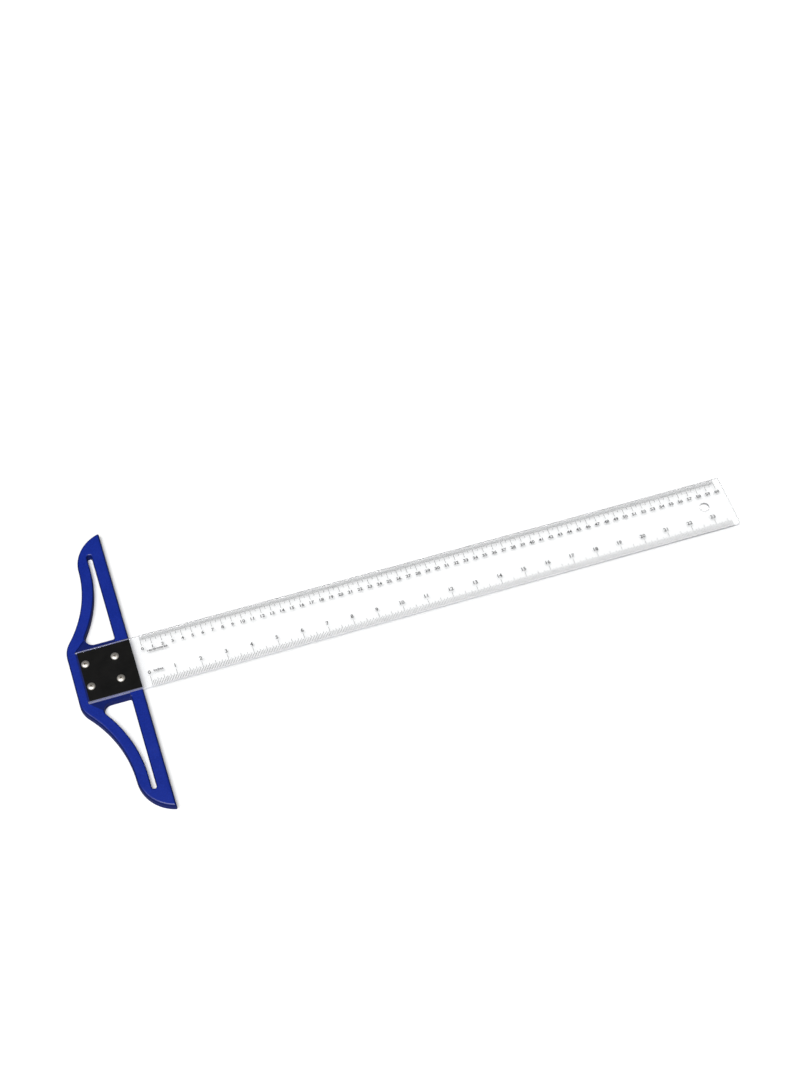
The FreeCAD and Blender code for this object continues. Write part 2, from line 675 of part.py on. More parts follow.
def write_parts():
    os.makedirs("parts", exist_ok=True)
    for body in doc.findObjects("PartDesign::Body"):
        body.Shape.exportStep("parts/%s.step" % body.Label)
        box = body.Shape.BoundBox
        print("%-18s %2d solids %9.1f mm3  x %.1f..%.1f  y %.1f..%.1f  z %.2f..%.2f" % (
            body.Label, len(body.Shape.Solids), body.Shape.Volume,
            box.XMin, box.XMax, box.YMin, box.YMax, box.ZMin, box.ZMax))


sheet = make_sheet()
make_head()
make_blade()
make_clamp_plate()
for spot, (spot_x, spot_y) in screw_places().items():
    make_screw("screw_" + spot, spot_x, spot_y)
    make_nut("nut_" + spot, spot_x, spot_y)
make_marks("cm_marks", 1, "cm_mark_length", "cm_marks", "cm_pitch")
make_marks("inch_marks", -1, "inch_mark_length", "inch_marks", "inch_pitch")
check_document()
write_parts()
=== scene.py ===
import math

import bmesh
import bpy
from mathutils import Matrix, Quaternion, Vector


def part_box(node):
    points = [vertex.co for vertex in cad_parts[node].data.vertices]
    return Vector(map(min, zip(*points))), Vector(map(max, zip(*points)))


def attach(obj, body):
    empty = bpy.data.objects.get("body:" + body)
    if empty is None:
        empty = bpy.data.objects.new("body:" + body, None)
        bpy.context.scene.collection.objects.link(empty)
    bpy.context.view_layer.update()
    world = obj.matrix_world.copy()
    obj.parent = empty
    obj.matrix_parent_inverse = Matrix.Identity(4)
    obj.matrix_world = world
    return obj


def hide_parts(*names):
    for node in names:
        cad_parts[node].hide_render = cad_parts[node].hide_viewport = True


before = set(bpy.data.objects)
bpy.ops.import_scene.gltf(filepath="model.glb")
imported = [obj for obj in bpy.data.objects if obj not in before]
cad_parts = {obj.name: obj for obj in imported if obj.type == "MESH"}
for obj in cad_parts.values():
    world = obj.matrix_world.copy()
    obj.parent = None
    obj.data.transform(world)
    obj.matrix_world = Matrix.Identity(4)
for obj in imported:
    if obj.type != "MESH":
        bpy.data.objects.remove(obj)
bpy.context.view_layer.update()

# A drawing T-square: moulded blue head, clear blade with two printed scales, black clamp plate, four
# screws and their nuts. Lengths are in metres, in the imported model's own frame: +X runs along the blade
# from the head's working face, +Y to the centimetre scale, +Z up from the blade's underside.

MM = 0.001
WELD = 0.002 * MM           # loose corners closer than this are one corner
CREASE = math.radians(32)   # a sharper bend than this stays an edge

CAD = {name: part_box(name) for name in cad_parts}
BLADE_LOW, BLADE_HIGH = CAD["blade"]
HEAD_LOW, HEAD_HIGH = CAD["head"]
PLATE_LOW, PLATE_HIGH = CAD["clamp_plate"]
SCREWS = ["screw_heel_inch", "screw_heel_cm", "screw_face_inch", "screw_face_cm"]
NUTS = [name.replace("screw", "nut") for name in SCREWS]


# ------------------------------------------------------------------ helpers for nodes and meshes

def add_node(tree, kind, inputs=None, **settings):
    """A node with its settings, and with inputs filled by plain values or by other nodes' outputs."""
    node = tree.nodes.new(kind)
    for name, value in settings.items():
        setattr(node, name, value)
    for name, value in (inputs or {}).items():
        if isinstance(value, bpy.types.NodeSocket):
            tree.links.new(value, node.inputs[name])
        else:
            node.inputs[name].default_value = value
    return node


def new_material(name):
    material = bpy.data.materials.new(name)
    material.use_nodes = True
    material.node_tree.nodes.clear()
    return material, material.node_tree


def show(tree, shader):
    add_node(tree, "ShaderNodeOutputMaterial", {"Surface": shader.outputs[0]})


def own_place(tree):
    """Where a point lies in the object's own frame, in metres."""
    return tree.nodes.new("ShaderNodeTexCoord").outputs["Object"]


def stretched(tree, place, scale, turn=0.0):
    """The same place with each direction scaled, for streaks and brush marks."""
    mapping = add_node(tree, "ShaderNodeMapping", {"Vector": place, "Scale": scale})
    mapping.inputs["Rotation"].default_value = (0, 0, math.radians(turn))
    return mapping.outputs[0]


def noise(tree, place, size, detail=3.0, roughness=0.5):
    """Cloudy variation from 0 to 1 whose patches are about the given size in metres."""
    node = add_node(tree, "ShaderNodeTexNoise", {
        "Vector": place, "Scale": 1 / size, "Detail": detail, "Roughness": roughness,
    })
    return node.outputs["Fac"]


def spread(tree, value, low, high, to_low=0.0, to_high=1.0):
    """Stretches the range low..high of a value over to_low..to_high, and clips it there."""
    node = add_node(tree, "ShaderNodeMapRange", {
        "Value": value, "From Min": low, "From Max": high, "To Min": to_low, "To Max": to_high,
    })
    return node.outputs["Result"]


def sums(tree, operation, first, second):
    node = add_node(tree, "ShaderNodeMath", {0: first, 1: second}, operation=operation)
    return node.outputs[0]


def blend(tree, share, first, second):
    """One colour fading into another by a share from 0 to 1."""
    node = add_node(tree, "ShaderNodeMix", {0: share, 6: first, 7: second}, data_type="RGBA")
    return node.outputs[2]


def bump(tree, height, depth, below=None):
    """A normal from a height of 0 to 1 that stands for the given depth in metres."""
    node = add_node(tree, "ShaderNodeBump", {"Height": height, "Distance": depth, "Strength": 1.0})
    if below is not None:
        tree.links.new(below, node.inputs["Normal"])
    return node.outputs[0]


def edge_share(tree, radius):
    """0 on open surfaces, rising towards 1 on edges and corners that hands and tables rub."""
    rounded = add_node(tree, "ShaderNodeBevel", {"Radius": radius}, samples=6)
    own = tree.nodes.new("ShaderNodeNewGeometry").outputs["Normal"]
    agree = add_node(tree, "ShaderNodeVectorMath", {0: rounded.outputs[0], 1: own}, operation="DOT_PRODUCT")
    return spread(tree, agree.outputs["Value"], 0.995, 0.80)


def scratches(tree, place, length, width, turn, amount):
    """Thin stray scratches in one direction: 1 on a scratch, 0 beside it."""
    along = stretched(tree, place, (1 / length, 1 / width, 1 / width), turn)
    lines = add_node(tree, "ShaderNodeTexNoise", {"Vector": along, "Scale": 1.0, "Detail": 1.0})
    return spread(tree, lines.outputs["Fac"], 0.80 - amount, 0.84 - amount)


# ------------------------------------------------------------------ materials

def blue_moulding():
    """Injection-moulded blue plastic: satin, faintly mottled, polished by hands along the edges, with painted
    shade darkening its roundings and the lower deck.
    """
    material, tree = new_material("blue_moulding")
    place = own_place(tree)
    cloud = noise(tree, place, 28 * MM, detail=4)
    speck = noise(tree, place, 1.5 * MM)
    height = add_node(tree, "ShaderNodeSeparateXYZ", {0: place}).outputs["Z"]
    facing = add_node(tree, "ShaderNodeSeparateXYZ", {
        0: tree.nodes.new("ShaderNodeNewGeometry").outputs["Normal"],
    }).outputs["Z"]
    # masks for painted shade: the tilted roundings and the lower deck beside the blade
    rounding = sums(tree, "MULTIPLY", spread(tree, facing, 0.97, 0.80), spread(tree, facing, 0.05, 0.30))
    below_top, above_seat = spread(tree, height, 2.4 * MM, 2.0 * MM), spread(tree, height, 1.0 * MM, 1.5 * MM)
    deck = sums(tree, "MULTIPLY", below_top, above_seat)
    deck = sums(tree, "MULTIPLY", deck, spread(tree, facing, 0.90, 0.98))
    patches = spread(tree, noise(tree, place, 6 * MM), 0.40, 0.72)
    worn = sums(tree, "MULTIPLY", edge_share(tree, 0.7 * MM), patches)
    stray = scratches(tree, place, 14 * MM, 0.25 * MM, 63, 0.12)
    mottle = spread(tree, cloud, 0.3, 0.7)
    colour = blend(tree, mottle, (0.0020, 0.0145, 0.200, 1), (0.0032, 0.0185, 0.240, 1))
    colour = blend(tree, spread(tree, speck, 0.44, 0.68, 0, 0.7), colour, (0.006, 0.028, 0.31, 1))
    # painted shade: the roundings and the deck fade to a dark blue
    painted_shade = sums(tree, "MAXIMUM", sums(tree, "MULTIPLY", rounding, 0.62), sums(tree, "MULTIPLY", deck, 0.68))
    colour = blend(tree, painted_shade, colour, (0.0004, 0.0045, 0.045, 1))
    colour = blend(tree, sums(tree, "MULTIPLY", worn, 0.35), colour, (0.018, 0.042, 0.34, 1))
    rough = spread(tree, cloud, 0.3, 0.7, 0.27, 0.34)
    rough = sums(tree, "ADD", rough, sums(tree, "MULTIPLY", stray, 0.16))
    rough = sums(tree, "SUBTRACT", rough, sums(tree, "MULTIPLY", worn, 0.10))
    grain = bump(tree, noise(tree, place, 0.35 * MM, detail=2), 0.010 * MM)
    waves = bump(tree, noise(tree, place, 9 * MM, detail=1), 0.040 * MM, grain)
    normal = bump(tree, sums(tree, "MULTIPLY", stray, -1.0), 0.006 * MM, waves)
    shader = add_node(tree, "ShaderNodeBsdfPrincipled", {
        "Base Color": colour, "Roughness": rough, "Normal": normal, "IOR": 1.49,
    })
    show(tree, shader)
    return material


def lamp_glass(tree, shader, tint):
    """A clear shader that lets light from lamps and from pale surfaces straight through, with a tint."""
    straight = add_node(tree, "ShaderNodeBsdfTransparent", {"Color": tint})
    ray = tree.nodes.new("ShaderNodeLightPath").outputs
    bounce = add_node(tree, "ShaderNodeMixShader", {
        0: ray["Is Diffuse Ray"], 1: shader.outputs[0], 2: straight.outputs[0],
    })
    return add_node(tree, "ShaderNodeMixShader", {
        0: ray["Is Shadow Ray"], 1: bounce.outputs[0], 2: straight.outputs[0],
    })


def clear_acrylic():
    """Cast acrylic sheet: polished, with the hair scratches and faint smudges of use."""
    material, tree = new_material("clear_acrylic")
    place = own_place(tree)
    long_marks = scratches(tree, place, 30 * MM, 0.12 * MM, 4, 0.10)
    cross_marks = scratches(tree, place, 18 * MM, 0.10 * MM, 71, 0.08)
    marks = sums(tree, "MAXIMUM", long_marks, cross_marks)
    smudge = spread(tree, noise(tree, place, 22 * MM, detail=4), 0.52, 0.75, 0.0, 0.05)
    rough = sums(tree, "ADD", smudge, sums(tree, "MULTIPLY", marks, 0.06))
    rough = sums(tree, "ADD", rough, 0.012)
    normal = bump(tree, sums(tree, "MULTIPLY", marks, -1.0), 0.002 * MM)
    shader = add_node(tree, "ShaderNodeBsdfPrincipled", {
        "Base Color": (0.995, 0.997, 0.998, 1), "Roughness": rough, "Normal": normal, "IOR": 1.49,
        "Transmission Weight": 1.0,
    })
    show(tree, lamp_glass(tree, shader, (0.99, 0.993, 0.994, 1)))
    return material


def milled_acrylic():
    """The sheet where it was cut and bevelled: frosted by the cutter, with fine marks along it."""
    material, tree = new_material("milled_acrylic")
    place = own_place(tree)
    along = stretched(tree, place, (1 / (6 * MM), 1 / (0.10 * MM), 1 / (0.10 * MM)))
    cutter = noise(tree, along, 1.0, detail=2)
    cloud = noise(tree, place, 7 * MM)
    rough = sums(tree, "ADD", spread(tree, cutter, 0.3, 0.7, 0.26, 0.40), sums(tree, "MULTIPLY", cloud, 0.08))
    low_index = 1.12    # below acrylic's own 1.49, so that total reflection doesn't blacken the edges
    shader = add_node(tree, "ShaderNodeBsdfPrincipled", {
        "Base Color": blend(tree, cloud, (0.90, 0.91, 0.95, 1), (0.96, 0.965, 0.98, 1)),
        "Roughness": rough, "Normal": bump(tree, cutter, 0.004 * MM), "IOR": low_index,
        "Transmission Weight": 0.72,
    })
    show(tree, lamp_glass(tree, shader, (0.92, 0.925, 0.94, 1)))
    return material


def dulled_acrylic():
    """The margins of the sheet beside the clamp plate: cloudy, greyer and faintly scratched."""
    material, tree = new_material("dulled_acrylic")
    place = own_place(tree)
    cloud = noise(tree, place, 4 * MM, detail=4)
    hair = scratches(tree, place, 12 * MM, 0.10 * MM, 8, 0.13)
    rough = sums(tree, "ADD", spread(tree, cloud, 0.3, 0.7, 0.22, 0.36), sums(tree, "MULTIPLY", hair, 0.10))
    shader = add_node(tree, "ShaderNodeBsdfPrincipled", {
        "Base Color": blend(tree, cloud, (0.80, 0.81, 0.84, 1), (0.90, 0.90, 0.92, 1)),
        "Roughness": rough, "Normal": bump(tree, cloud, 0.010 * MM), "IOR": 1.49, "Transmission Weight": 0.82,
    })
    show(tree, lamp_glass(tree, shader, (0.90, 0.91, 0.94, 1)))
    return material


def tinted_end():
    """The narrow inner end of the sheet past the clamp plate, drawn as an opaque dark blue like the moulding.
    """
    material, tree = new_material("tinted_end")
    place = own_place(tree)
    cloud = noise(tree, place, 5 * MM, detail=3)
    shader = add_node(tree, "ShaderNodeBsdfPrincipled", {
        "Base Color": blend(tree, cloud, (0.0012, 0.0075, 0.085, 1), (0.0020, 0.0110, 0.130, 1)),
        "Roughness": spread(tree, cloud, 0.3, 0.7, 0.30, 0.42), "Normal": bump(tree, cloud, 0.010 * MM),
        "IOR": 1.49,
    })
    show(tree, shader)
    return material


def black_plate():
    """Matt black sheet: fine texture, rubbed paler at its edges and scuffed in places."""
    material, tree = new_material("black_plate")
    place = own_place(tree)
    fine = noise(tree, place, 0.30 * MM, detail=3, roughness=0.6)
    cloud = noise(tree, place, 11 * MM, detail=4)
    patches = spread(tree, noise(tree, place, 3 * MM), 0.35, 0.65)
    rubbed = sums(tree, "MULTIPLY", edge_share(tree, 0.35 * MM), patches)
    stray = scratches(tree, place, 9 * MM, 0.14 * MM, 28, 0.11)
    pale = sums(tree, "MAXIMUM", sums(tree, "MULTIPLY", rubbed, 0.7), sums(tree, "MULTIPLY", stray, 0.18))
    uneven = spread(tree, cloud, 0.3, 0.7)
    colour = blend(tree, uneven, (0.0022, 0.0022, 0.0021, 1), (0.0045, 0.0043, 0.0040, 1))
    colour = blend(tree, pale, colour, (0.055, 0.055, 0.057, 1))
    rough = spread(tree, cloud, 0.3, 0.7, 0.50, 0.62)
    rough = sums(tree, "SUBTRACT", rough, sums(tree, "MULTIPLY", pale, 0.12))
    shader = add_node(tree, "ShaderNodeBsdfPrincipled", {
        "Base Color": colour, "Roughness": rough, "Normal": bump(tree, fine, 0.018 * MM), "IOR": 1.47,
        "Specular IOR Level": 0.15,
    })
    show(tree, shader)
    return material


def plated_metal(name, bright, dull, ring_pitch):
    """Plated steel turned on a lathe: fine rings round each piece's own axis, dulled in patches of grime,
    with painted shade near the axis low down, in the screws' cross recess.
    """
    material, tree = new_material(name)
    from_axis = add_node(tree, "ShaderNodeAttribute", attribute_name="from_axis").outputs["Vector"]
    flat = add_node(tree, "ShaderNodeVectorMath", {0: from_axis, 1: (1, 1, 0)}, operation="MULTIPLY")
    radius = add_node(tree, "ShaderNodeVectorMath", {0: flat.outputs[0]}, operation="LENGTH").outputs["Value"]
    height = add_node(tree, "ShaderNodeSeparateXYZ", {0: from_axis}).outputs["Z"]
    turns = sums(tree, "MULTIPLY", radius, 2 * math.pi / ring_pitch)
    rings = sums(tree, "SINE", turns, 0.0)
    place = own_place(tree)
    cloud = noise(tree, place, 1.6 * MM, detail=4)
    pits = spread(tree, noise(tree, place, 0.25 * MM), 0.62, 0.75)
    grime_and_shade = spread(tree, noise(tree, place, 0.9 * MM), 0.56, 0.74)
    # painted shade near each piece's axis low down, which on a screw is its cross recess
    near_axis, below_dome = spread(tree, radius, 2.5 * MM, 2.2 * MM), spread(tree, height, 2.1 * MM, 1.5 * MM)
    recess_shade = sums(tree, "MULTIPLY", near_axis, below_dome)
    # patches of grime and the painted recess shade darken the colour together
    grime_and_shade = sums(tree, "MAXIMUM", grime_and_shade, sums(tree, "MULTIPLY", recess_shade, 1.8))
    colour = blend(tree, spread(tree, cloud, 0.3, 0.7), bright, dull)
    colour = blend(tree, sums(tree, "MULTIPLY", grime_and_shade, 0.45), colour, (0.16, 0.13, 0.10, 1))
    rough = sums(tree, "ADD", spread(tree, cloud, 0.3, 0.7, 0.50, 0.58), sums(tree, "MULTIPLY", grime_and_shade, 0.12))
    turned = bump(tree, rings, 0.0035 * MM)
    shader = add_node(tree, "ShaderNodeBsdfPrincipled", {
        "Base Color": colour, "Roughness": rough, "Metallic": 1.0,
        "Normal": bump(tree, sums(tree, "MULTIPLY", pits, -1.0), 0.010 * MM, turned),
    })
    show(tree, shader)
    return material


def scale_ink():
    """Screen-printed ink: matt, and a little uneven in tone."""
    material, tree = new_material("scale_ink")
    place = own_place(tree)
    thin = spread(tree, noise(tree, place, 0.5 * MM), 0.35, 0.75)
    shader = add_node(tree, "ShaderNodeBsdfPrincipled", {
        "Base Color": blend(tree, thin, (0.012, 0.012, 0.013, 1), (0.045, 0.045, 0.048, 1)),
        "Roughness": spread(tree, thin, 0, 1, 0.55, 0.75),
        "Normal": bump(tree, noise(tree, place, 0.12 * MM), 0.004 * MM), "IOR": 1.45,
    })
    show(tree, shader)
    return material


def pale_floor():
    """White paper as it is looked at, but a mid grey for the light it throws back on the object's sides."""
    material, tree = new_material("pale_floor")
    seen = add_node(tree, "ShaderNodeBsdfDiffuse", {"Color": (0.95, 0.95, 0.95, 1)})
    thrown = add_node(tree, "ShaderNodeBsdfDiffuse", {"Color": (0.14, 0.14, 0.15, 1)})
    ray = tree.nodes.new("ShaderNodeLightPath").outputs
    looked_at = sums(tree, "MAXIMUM", ray["Is Camera Ray"], ray["Is Transmission Ray"])
    show(tree, add_node(tree, "ShaderNodeMixShader", {
        0: looked_at, 1: thrown.outputs[0], 2: seen.outputs[0],
    }))
    return material


# ------------------------------------------------------------------ meshes

def new_piece(name, mesh):
    piece = bpy.data.objects.new(name, mesh)
    bpy.context.scene.collection.objects.link(piece)
    return piece


def settled(piece):
    """Turns the piece's modifiers into its plain mesh."""
    finished = bpy.data.meshes.new_from_object(piece.evaluated_get(bpy.context.evaluated_depsgraph_get()))
    piece.modifiers.clear()
    piece.data = finished
    return piece


def softened(piece, width, segments=2):
    """Breaks the sharp edges by a small radius and keeps the flat faces flat."""
    bevel = piece.modifiers.new("edge_break", "BEVEL")
    bevel.width = width
    bevel.segments = segments
    bevel.limit_method = "ANGLE"
    bevel.angle_limit = CREASE
    bevel.miter_outer = "MITER_ARC"
    bevel.use_clamp_overlap = True
    smooth_flats(piece)
    return settled(piece)


def smooth_flats(piece):
    """Smooth shading that leaves large flat faces flat beside small rounded ones."""
    piece.data.shade_smooth()
    weighted = piece.modifiers.new("weighted_normals", "WEIGHTED_NORMAL")
    weighted.mode = "FACE_AREA"
    weighted.weight = 50
    weighted.keep_sharp = True


def merged_copy(node, name):
    """A copy of a CAD node with its loose triangles joined at their corners."""
    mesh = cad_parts[node].data.copy()
    mesh.name = name
    mesh.materials.clear()
    shape = bmesh.new()
    shape.from_mesh(mesh)
    bmesh.ops.remove_doubles(shape, verts=shape.verts, dist=WELD)
    for face in shape.faces:
        face.material_index = 0
    shape.to_mesh(mesh)
    shape.free()
    return new_piece(name, mesh)


def join_meshes(name, meshes):
    """One mesh from several, each already in place."""
    shape = bmesh.new()
    for mesh in meshes:
        shape.from_mesh(mesh)
        bpy.data.meshes.remove(mesh)
    joined = bpy.data.meshes.new(name)
    shape.to_mesh(joined)
    shape.free()
    return joined


def put_on(piece, slot, *nodes):
    """The piece rides on the part's one body and stands for its CAD nodes; the slot is not used."""
    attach(piece, "root")
    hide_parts(*nodes)


# ------------------------------------------------------------------ the moulded head and the plate

def make_head(material):
    head = softened(merged_copy("head", "head_moulding"), 0.18 * MM)
    head.data.materials.append(material)
    put_on(head, "blue_plastic", "head")


def make_plate(material):
    plate = softened(merged_copy("clamp_plate", "black_clamp_plate"), 0.12 * MM)
    plate.data.materials.append(material)
    put_on(plate, "black_plate", "clamp_plate")


# ------------------------------------------------------------------ the blade

def cut_across(mesh, planes):
    """Adds edges where each plane, a point and a normal, crosses the mesh."""
    shape = bmesh.new()
    shape.from_mesh(mesh)
    for point, normal in planes:
        everything = shape.verts[:] + shape.edges[:] + shape.faces[:]
        bmesh.ops.bisect_plane(shape, geom=everything, plane_co=point, plane_no=normal)
    shape.to_mesh(mesh)
    shape.free()


def make_blade(polished, milled, dulled, opaque_end):
    """A polished sheet, dull beside the plate and opaque dark blue at its inner end, with milled edges and
    holes.
    """
    seam = 0.02 * MM    # gap that keeps the sheet's faces apart from the seat and the plate
    level = 0.999       # a face that looks this nearly straight up or down is a flat of the sheet
    blade = merged_copy("blade", "clear_blade")
    thick = BLADE_HIGH.z - BLADE_LOW.z
    for corner in blade.data.vertices:
        corner.co.z = BLADE_LOW.z + seam + (corner.co.z - BLADE_LOW.z) * (1 - 2 * seam / thick)
    cut_across(blade.data, [
        (PLATE_LOW, (0, 1, 0)), (PLATE_HIGH, (0, 1, 0)), (PLATE_LOW, (1, 0, 0)), (PLATE_HIGH, (1, 0, 0)),
    ])
    softened(blade, 0.10 * MM)
    for material in (polished, milled, dulled, opaque_end):
        blade.data.materials.append(material)
    edge, margin, inner_end = 1, 2, 3    # places in the sheet's list of materials
    for face in blade.data.polygons:
        middle = face.center
        past_sides = not PLATE_LOW.y < middle.y < PLATE_HIGH.y
        # the inner end past the plate is drawn opaque dark blue
        if middle.x < PLATE_LOW.x and not past_sides:
            face.material_index = inner_end
        elif abs(face.normal.z) < level:
            face.material_index = edge
        elif middle.x < PLATE_HIGH.x and past_sides and face.normal.z > 0:
            face.material_index = margin
    put_on(blade, "clear_acrylic", "blade")


# ------------------------------------------------------------------ the two printed scales

def tick_tree(material, levels):
    """A node tree that prints a row of marks. levels pairs how often a longer mark comes with its name."""
    tree = bpy.data.node_groups.new("scale_marks", "GeometryNodeTree")
    face = tree.interface
    face.new_socket("Count", in_out="INPUT", socket_type="NodeSocketInt")
    names = ["Pitch", "Start", "Edge", "Inward", "Width", "Ink", "Shortest"]
    for name in names + [level for _, level in levels]:
        face.new_socket(name, in_out="INPUT", socket_type="NodeSocketFloat")
    face.new_socket("Geometry", in_out="OUTPUT", socket_type="NodeSocketGeometry")
    given = tree.nodes.new("NodeGroupInput").outputs

    def vector(x=0.0, y=0.0, z=0.0):
        return add_node(tree, "ShaderNodeCombineXYZ", {0: x, 1: y, 2: z}).outputs[0]

    def times(first, second):
        return add_node(tree, "ShaderNodeMath", {0: first, 1: second}, operation="MULTIPLY").outputs[0]

    index = tree.nodes.new("GeometryNodeInputIndex").outputs[0]
    length = given["Shortest"]
    for every, level in levels:
        rest = add_node(tree, "ShaderNodeMath", {0: index, 1: float(every)}, operation="MODULO").outputs[0]
        here = add_node(tree, "FunctionNodeCompare", {0: rest, 1: 0.5}, operation="LESS_THAN").outputs[0]
        pick = add_node(tree, "GeometryNodeSwitch", {0: here, 1: length, 2: given[level]}, input_type="FLOAT")
        length = pick.outputs[0]
    under = times(given["Ink"], -0.5)
    line = add_node(tree, "GeometryNodeMeshLine", {
        "Count": given["Count"], "Start Location": vector(given["Start"], given["Edge"], under),
        "Offset": vector(given["Pitch"]),
    })
    middle = times(times(length, 0.5), given["Inward"])
    centred = add_node(tree, "GeometryNodeSetPosition", {
        "Geometry": line.outputs[0], "Offset": vector(0.0, middle),
    })
    mark = add_node(tree, "GeometryNodeMeshCube", {"Size": (1, 1, 1)})
    marks = add_node(tree, "GeometryNodeInstanceOnPoints", {
        "Points": centred.outputs[0], "Instance": mark.outputs[0],
        "Scale": vector(given["Width"], length, given["Ink"]),
    })
    real = add_node(tree, "GeometryNodeRealizeInstances", {"Geometry": marks.outputs[0]})
    inked = add_node(tree, "GeometryNodeSetMaterial", {"Geometry": real.outputs[0], "Material": material})
    add_node(tree, "NodeGroupOutput", {"Geometry": inked.outputs[0]})
    return tree


def print_marks(name, tree, values):
    """Runs the tree with its named inputs and keeps the result as a plain mesh."""
    piece = new_piece(name, bpy.data.meshes.new(name))
    modifier = piece.modifiers.new("marks", "NODES")
    modifier.node_group = tree
    for item in tree.interface.items_tree:
        if item.in_out == "INPUT":
            modifier[item.identifier] = values[item.name]
    return settled(piece)


def lettering(name, words, material):
    """Printed characters. A word is its text, the middle of its place, its height and its widening."""
    capital = 0.70        # height of a numeral as a share of the font's size
    bolder = 0.09 * MM    # how far each stroke is thickened outwards
    ink = -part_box("cm_marks")[0].z
    meshes = []
    for text, x, y, height, wide in words:
        curve = bpy.data.curves.new("word", "FONT")
        curve.body = text
        curve.size = height / capital
        curve.align_x = "CENTER"
        curve.align_y = "CENTER"
        curve.extrude = ink / 2
        curve.offset = bolder
        curve.resolution_u = 3
        word = new_piece("word", curve)
        mesh = bpy.data.meshes.new_from_object(word.evaluated_get(bpy.context.evaluated_depsgraph_get()))
        bpy.data.objects.remove(word)
        mesh.transform(Matrix.Translation((x, y, -ink / 2)) @ Matrix.Diagonal((wide, 1, 1, 1)))
        meshes.append(mesh)
    piece = new_piece(name, join_meshes(name, meshes))
    piece.data.materials.clear()
    piece.data.materials.append(material)
    return piece


def make_scales(material):
    """Both rows of marks with their numerals and the names of their units."""
    cm_low, cm_high = CAD["cm_marks"]
    inch_low, inch_high = CAD["inch_marks"]
    ink, width = -cm_low.z, 0.3 * MM
    start = 10 * MM    # the zero marks' distance from the working face
    cm, inch = 10 * MM, 25.4 * MM
    whole_cm = round((cm_high.x - cm_low.x) / cm)
    whole_inch = round((inch_high.x - inch_low.x) / inch)

    cm_tree = tick_tree(material, [(5, "Half centimetre"), (10, "Centimetre")])
    marks = print_marks("cm_scale_marks", cm_tree, {
        "Count": 10 * whole_cm + 1, "Pitch": cm / 10, "Start": start, "Edge": cm_high.y, "Inward": -1.0,
        "Width": width, "Ink": ink, "Shortest": 4.8 * MM, "Half centimetre": 7.5 * MM,
        "Centimetre": cm_high.y - cm_low.y,
    })
    put_on(marks, "grey_ink", "cm_marks")

    inch_tree = tick_tree(material, [
        (2, "Eighth"), (4, "Quarter"), (8, "Half inch"), (16, "Inch"),
    ])
    past_last = 10    # sixteenths printed beyond the last whole inch
    marks = print_marks("inch_scale_marks", inch_tree, {
        "Count": 16 * whole_inch + past_last + 1, "Pitch": inch / 16, "Start": start, "Edge": inch_low.y,
        "Inward": 1.0, "Width": width, "Ink": ink, "Shortest": 7 * MM, "Eighth": 8 * MM, "Quarter": 9 * MM,
        "Half inch": 10.5 * MM, "Inch": inch_high.y - inch_low.y,
    })
    put_on(marks, "grey_ink", "inch_marks")

    cm_row, inch_row = 14.7 * MM, -12.75 * MM
    words = [(str(i), start + i * cm, cm_row, 3.1 * MM, 1.2) for i in range(whole_cm + 1)]
    words.append(("centimetres", start + 13.6 * MM, cm_row - 3.4 * MM, 2.4 * MM, 1.25))
    cm_words = lettering("cm_numerals", words, material)
    words = [(str(i), start + i * inch, inch_row, 3.8 * MM, 1.05) for i in range(whole_inch + 1)]
    words.append(("inches", start + 9.1 * MM, inch_row + 0.9 * MM, 2.4 * MM, 1.12))
    inch_words = lettering("inch_numerals", words, material)
    for piece in (cm_words, inch_words):
        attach(piece, "root")


# ------------------------------------------------------------------ screws and nuts

def ring_of(shape, radius, z, segments):
    """A closed ring of corners; radius may be a function of the angle as a share of a turn."""
    ring = []
    for i in range(segments):
        share = i / segments
        reach = radius(share) if callable(radius) else radius
        angle = 2 * math.pi * share
        ring.append(shape.verts.new((reach * math.cos(angle), reach * math.sin(angle), z)))
    return ring


def skin_rings(shape, rings):
    """Quads between each ring and the next, and a fan at both ends."""
    for low, high in zip(rings, rings[1:]):
        count = len(low)
        for i in range(count):
            shape.faces.new((low[i], low[(i + 1) % count], high[(i + 1) % count], high[i]))
    for ring, turned in ((rings[0], True), (rings[-1], False)):
        tip = shape.verts.new((0, 0, ring[0].co.z))
        for i in range(len(ring)):
            corners = (ring[i], ring[(i + 1) % len(ring)], tip)
            shape.faces.new(corners[::-1] if turned else corners)


def screw_body():
    """A pan-head machine screw with a rolled thread; its origin is under the head, on the axis."""
    segments, pitch, crest, root = 40, 0.7 * MM, 1.98 * MM, 1.62 * MM
    head_radius, side, high, under, length = 4.0 * MM, 1.3 * MM, 2.56 * MM, 0.22 * MM, 8.0 * MM
    thread_end, neck, point = -0.9 * MM, -0.7 * MM, root - 0.25 * MM
    dome_rings = 13
    dome = (head_radius ** 2 + (high - side) ** 2) / (2 * (high - side))
    shape = bmesh.new()
    rings = [ring_of(shape, point, -length, segments)]
    step = pitch / 8
    z = -length + 0.30 * MM

    def thread(z):
        def radius(share):
            phase = (z / pitch - share) % 1.0
            tooth = 1 - abs(2 * phase - 1)
            return root + (crest - root) * min(1.0, 1.25 * tooth)
        return radius

    while z < thread_end:
        rings.append(ring_of(shape, thread(z), z, segments))
        z += step
    profile = [
        (root, neck), (root, -0.03 * MM), (root + 0.03 * MM, 0), (head_radius - under, 0),
        (head_radius - under * 0.3, under * 0.3), (head_radius, under), (head_radius, side - 0.25 * MM),
    ]
    for i in range(dome_rings):
        angle = math.asin(head_radius / dome) * (1 - i / dome_rings)
        reach, height = dome * math.sin(angle), high - dome * (1 - math.cos(angle))
        ease = 0.12 * MM if i == 0 else 0
        profile.append((reach - ease, height))
    for radius, height in profile:
        rings.append(ring_of(shape, radius, height, segments))
    skin_rings(shape, rings)
    mesh = bpy.data.meshes.new("screw")
    shape.to_mesh(mesh)
    shape.free()
    return mesh


